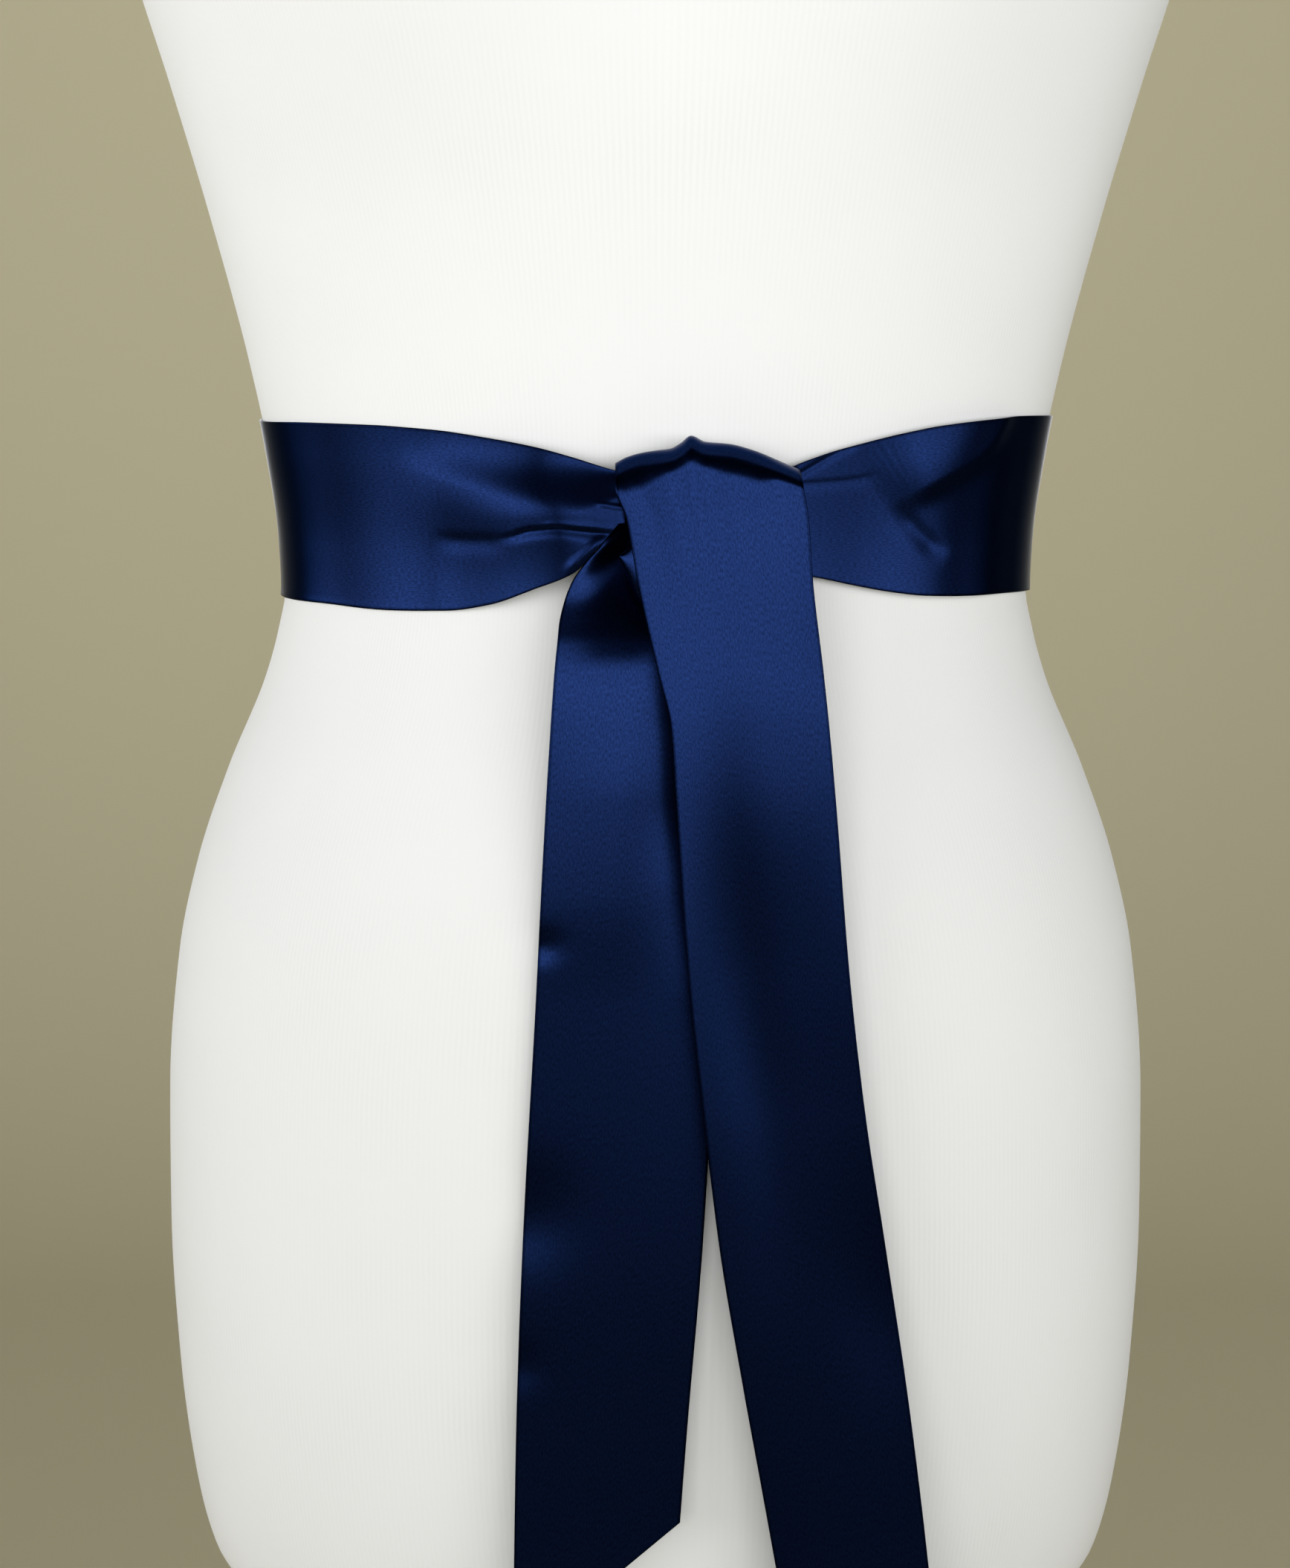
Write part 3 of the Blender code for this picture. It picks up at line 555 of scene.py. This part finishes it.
def build_torso(material):
    """The torso as a fine grid: sections at even distances along its side outline, closed at both ends."""
    rows, cols, girth = 300, 288, 0.80
    tall = np.linspace(TORSO[0][0], TORSO[-1][0], 4000)
    outline = np.concatenate([[0.0], np.cumsum(np.hypot(np.diff(tall), np.diff(read(TORSO, 1, tall))))])
    heights = np.interp(np.linspace(0.0, outline[-1], rows), outline, tall)
    rise, azimuth = np.meshgrid(heights, np.arange(cols) * 360.0 / cols - 180.0, indexing="ij")
    row, col = grid_corners(rows, cols, closed=True)
    faces = (row * cols + col % cols)[:, ::-1].tolist()
    lengths = np.interp(heights, tall, outline)
    uv = np.stack([col[:, ::-1] / cols * girth, lengths[row[:, ::-1]]], axis=-1).reshape(-1, 2)
    ends = [list(range(cols)), list(range(rows * cols - 1, rows * cols - cols - 1, -1))]
    uv = np.concatenate([uv, np.zeros((2 * cols, 2))])
    piece = add_mesh("jersey_torso", form_point(azimuth, rise), faces + ends, uv, material)
    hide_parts("form_torso")


def left_lift(azimuth, share):
    """How far the left stretch climbs off the form: a smooth rise to the knot, least at the upper edge."""
    lower = ease(0.0, 0.5, share)
    return LEFT_LIFT * ease(*LEFT_CLIMB, azimuth) * (UPPER_CLIMB + (1 - UPPER_CLIMB) * lower)


def right_lift(azimuth, share):
    """How far the right stretch stands off the form: two smooth rises, beside the front tail and under it."""
    return RIGHT_LIFT * (1 - ease(*RIGHT_CLIMB, azimuth)) + RIGHT_REACH * (1 - ease(*REACH_CLIMB, azimuth))


def no_lift(azimuth, share):
    """The back stretch lies on the form all the way."""
    return 0.0


def build_waist(material):
    """The three stretches of ribbon round the waist, each from its upper edge, share 0, to its lower one."""
    share = np.linspace(0.0, 1.0, ACROSS_POINTS)

    def stretch(name, table, rows, azimuths, lift, node_name):
        """One stretch: each point stands off the form by the clearance, the lift and the folds' height.

        A soft stop, half the sum of a distance and its hypotenuse with a small length, keeps a trough from
        going into the form.
        """
        azimuth, part = np.meshgrid(azimuths, share, indexing="ij")
        rise = (1 - part) * read(table, 1, azimuth) + part * read(table, 2, azimuth)
        out = CLEAR + lift(azimuth, part) + EDGE_STAND * part
        across = form_point(azimuth, rise, out)[..., 0]
        spare = out + folds(rows, across, rise) - LEAST_GAP
        points = form_point(azimuth, rise, LEAST_GAP + (spare + np.hypot(spare, SOFT_STOP)) / 2)
        piece = add_ribbon(name, points, material, node_name)

    left = np.concatenate([np.linspace(-SIDE_SEAM, LEFT_FINE, 90)[:-1],
                           np.linspace(LEFT_FINE, LEFT_END, 220)])
    right = np.concatenate([np.linspace(RIGHT_START, RIGHT_FINE, 230)[:-1],
                            np.linspace(RIGHT_FINE, SIDE_SEAM, 70)])
    back = np.linspace(SIDE_SEAM, 360.0 - SIDE_SEAM, 280)
    stretch("ribbon_waist_left", BAND_LEFT, FOLDS_LEFT, left, left_lift, "sash_waist_left")
    stretch("ribbon_waist_right", BAND_RIGHT, FOLDS_RIGHT, right, right_lift, "sash_waist_right")
    stretch("ribbon_waist_back", BAND_BACK, FOLDS_BACK, back, no_lift, "sash_waist_back")


def hang(table, dents, tip, share, start, rows):
    """A tail's hanging sheet: rows of points from start, at each share across, down to its slanted end.

    Depth is the table's depth, less the turn from the left edge to the right one, less the crown, a parabola
    that is highest in the middle. The curl brings the left side forward and the tuck takes the right side
    back, each on a smooth step, and every dent is a soft bell towards the form.
    """
    end = (1 - share) * tip["left"] + share * tip["right"]
    level = np.mean(start)
    rise = level + (start - level) * (1 - rows) ** LEVEL_POWER + (end - level) * rows
    left, right = read(table, 1, rise), read(table, 2, rise)
    across = (1 - share) * left + share * right
    middle = 4 * share * (1 - share)
    depth = read(table, 3, rise) - read(table, 4, rise) * (1 - 2 * share) - read(table, 5, rise) * middle
    if len(table[0]) > 6:
        depth = depth - read(table, 6, rise) * (1 - ease(0.0, CURL_SHARE, share))
        depth = depth + read(table, 7, rise) * ease(TUCK_SHARE, 1.0, share)
    for place, height, wide, tall, deep in dents:
        depth = depth + deep * np.exp(-((share - place) / wide) ** 2 - ((rise - height) / tall) ** 2)
    return np.stack([across, depth, rise], axis=-1)


def build_front_tail(material):
    """The tail that comes up behind the knot, rolls over it and hangs in front.

    The roll is an arc of an ellipse at each place across, from behind the knot over its top line to the first
    row of the hanging sheet.
    """
    share = np.linspace(0.0, 1.0, 91)
    flat = (1 - share) * ROLL_TOP[0][0] + share * ROLL_TOP[-1][0]
    top, tall = read(ROLL_TOP, 1, flat), read(ROLL_TOP, 2, flat)
    fall, part = np.meshgrid(np.linspace(0.0, 1.0, 320), share, indexing="ij")
    sheet = hang(FRONT_TAIL, FRONT_DENTS, FRONT_TIP, part, top - tall, fall)
    turn = np.linspace(np.radians(ROLL_START), np.radians(ROLL_END), 70)
    angle, part = np.meshgrid(turn, share, indexing="ij")
    rise = top - tall + tall * np.sin(angle)
    front = angle < np.pi / 2
    left, right = read(FRONT_TAIL, 1, rise), read(FRONT_TAIL, 2, rise)
    across = np.where(front, (1 - part) * left + part * right, flat)
    behind = ease(*np.radians(ROLL_TURN), angle)
    reach = np.where(front, ROLL_MIDDLE - sheet[0, :, 1], ROLL_BACK)
    depth = ROLL_MIDDLE - reach * np.cos(angle)
    over = np.stack([across + behind * ROLL_TUCK * (1 - 2 * part), depth, rise], axis=-1)
    points = np.concatenate([over, sheet])
    add_ribbon("ribbon_front_tail", points, material, "sash_front_tail")


def build_rear_tail(material):
    """The tail that comes out below the left stretch and hangs behind the other."""
    fall, part = np.meshgrid(np.linspace(0.0, 1.0, 360), np.linspace(0.0, 1.0, 91), indexing="ij")
    points = hang(REAR_TAIL, REAR_DENTS, REAR_TIP, part, REAR_TAIL[0][0], fall)
    add_ribbon("ribbon_rear_tail", points, material, "sash_rear_tail")


def build_knot(material):
    """The knot's turns: a rounded oval section at each place across, seen at its corner between the tails."""
    rows, cols = 60, 73
    places, turns = np.linspace(KNOT[0][0], KNOT[-1][0], rows), np.linspace(-np.pi, np.pi, cols)
    across, turn = np.meshgrid(places, turns, indexing="ij")
    upper, lower, front = (read(KNOT, column, across) for column in (1, 2, 3))
    tall, deep = (upper - lower) / 2, (KNOT_BACK - front) / 2
    depth = (KNOT_BACK + front) / 2 - deep * rounded(np.cos(turn), KNOT_BLUNT)
    rise = (upper + lower) / 2 + tall * rounded(np.sin(turn), KNOT_SQUARE)
    points = np.stack([across, depth, rise], axis=-1)
    row, col = grid_corners(rows, cols)
    flat = flat_map(points.transpose(1, 0, 2)).transpose(1, 0, 2)
    piece = add_mesh("knot_turns", points, (row * cols + col).tolist(), flat[row, col], material)
    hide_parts("sash_knot_wrap")


def build_stand(material):
    """The stand keeps its solids, in brushed steel."""
    for name in ("form_neck_cap", "form_collar", "form_pole", "form_socket", "form_base"):
        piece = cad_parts[name]
        piece.data.materials.clear()
        piece.data.materials.append(material)


def build_room():
    """A plain pale floor that sweeps up into a backdrop: a straight run, a quarter turn and a wall."""
    material, tree, shader = new_material("matte_paper_pale", Roughness=0.95)
    shader.inputs["Base Color"].default_value = colour(ROOM_PALE)
    # The paper is seen from its front alone, so that the object can be looked at from behind as well.
    reverse = node(tree, "ShaderNodeNewGeometry").outputs["Backfacing"]
    clear = node(tree, "ShaderNodeBsdfTransparent").outputs["BSDF"]
    one_sided = node(tree, "ShaderNodeMixShader", {0: reverse, 1: shader.outputs["BSDF"], 2: clear})
    tree.links.new(one_sided.outputs["Shader"], tree.nodes["Material Output"].inputs["Surface"])
    turn = np.linspace(0.0, np.pi / 2, 16)
    depth = np.concatenate([[-ROOM_NEAR], ROOM_FAR - ROOM_BEND + ROOM_BEND * np.sin(turn), [ROOM_FAR]])
    height = np.concatenate([[0.0], ROOM_BEND - ROOM_BEND * np.cos(turn), [ROOM_TALL]])
    across = np.array([-ROOM_SIDE, ROOM_SIDE])
    points = np.stack(np.broadcast_arrays(across, depth[:, None], height[:, None]), axis=-1)
    row, col = grid_corners(len(depth), 2)
    mesh = bpy.data.meshes.new("sweep")
    mesh.from_pydata(points.reshape(-1, 3).tolist(), [], (row * 2 + col)[:, ::-1].tolist())
    mesh.shade_smooth()
    mesh.materials.append(material)
    piece = bpy.data.objects.new("sweep", mesh)
    bpy.context.scene.collection.objects.link(piece)


def build_light():
    """Soft panels, each a row of the table, which the camera doesn't see. The world itself is nearly dark."""
    for name, azimuth, away, wide, low, high, spread, glow in LIGHTS:
        turn = math.radians(azimuth)
        data = bpy.data.lights.new(name, "AREA")
        data.shape = "RECTANGLE"
        data.size, data.size_y = wide, high - low
        data.spread = math.radians(spread)
        data.energy = glow * wide * (high - low)
        lamp = bpy.data.objects.new(name, data)
        lamp.location = (away * math.sin(turn), -away * math.cos(turn), WAIST + (low + high) / 2)
        aim = Vector((0.0, 0.0, WAIST if low > OVERHEAD else lamp.location.z))
        lamp.rotation_euler = (aim - lamp.location).to_track_quat("-Z", "Y").to_euler()
        lamp.visible_camera = False
        bpy.context.scene.collection.objects.link(lamp)
    world = bpy.data.worlds.new("room")
    world.use_nodes = True
    sky = world.node_tree.nodes["Background"]
    sky.inputs["Color"].default_value = (1.0, 1.0, 1.0, 1.0)
    sky.inputs["Strength"].default_value = WORLD_GLOW
    bpy.context.scene.world = world
    bpy.context.scene.view_settings.view_transform = "Standard"


def build_camera():
    """The photograph's view: about 3 degrees above the waist, 1.05 m from the form's axis."""
    data = bpy.data.cameras.new("camera")
    data.sensor_fit = "VERTICAL"
    data.sensor_height = FILM_TALL
    data.lens = LENS
    camera = bpy.data.objects.new("camera", data)
    camera.location = (CAMERA_ACROSS, -CAMERA_AWAY, WAIST + CAMERA_RISE)
    camera.rotation_euler = (math.pi / 2 - math.radians(CAMERA_DIP), 0.0, 0.0)
    bpy.context.scene.collection.objects.link(camera)
    bpy.context.scene.camera = camera


build_camera()
build_light()
build_room()
satin = navy_satin()
build_torso(jersey())
build_waist(satin)
build_knot(satin)
build_front_tail(satin)
build_rear_tail(satin)
build_stand(satin_steel())
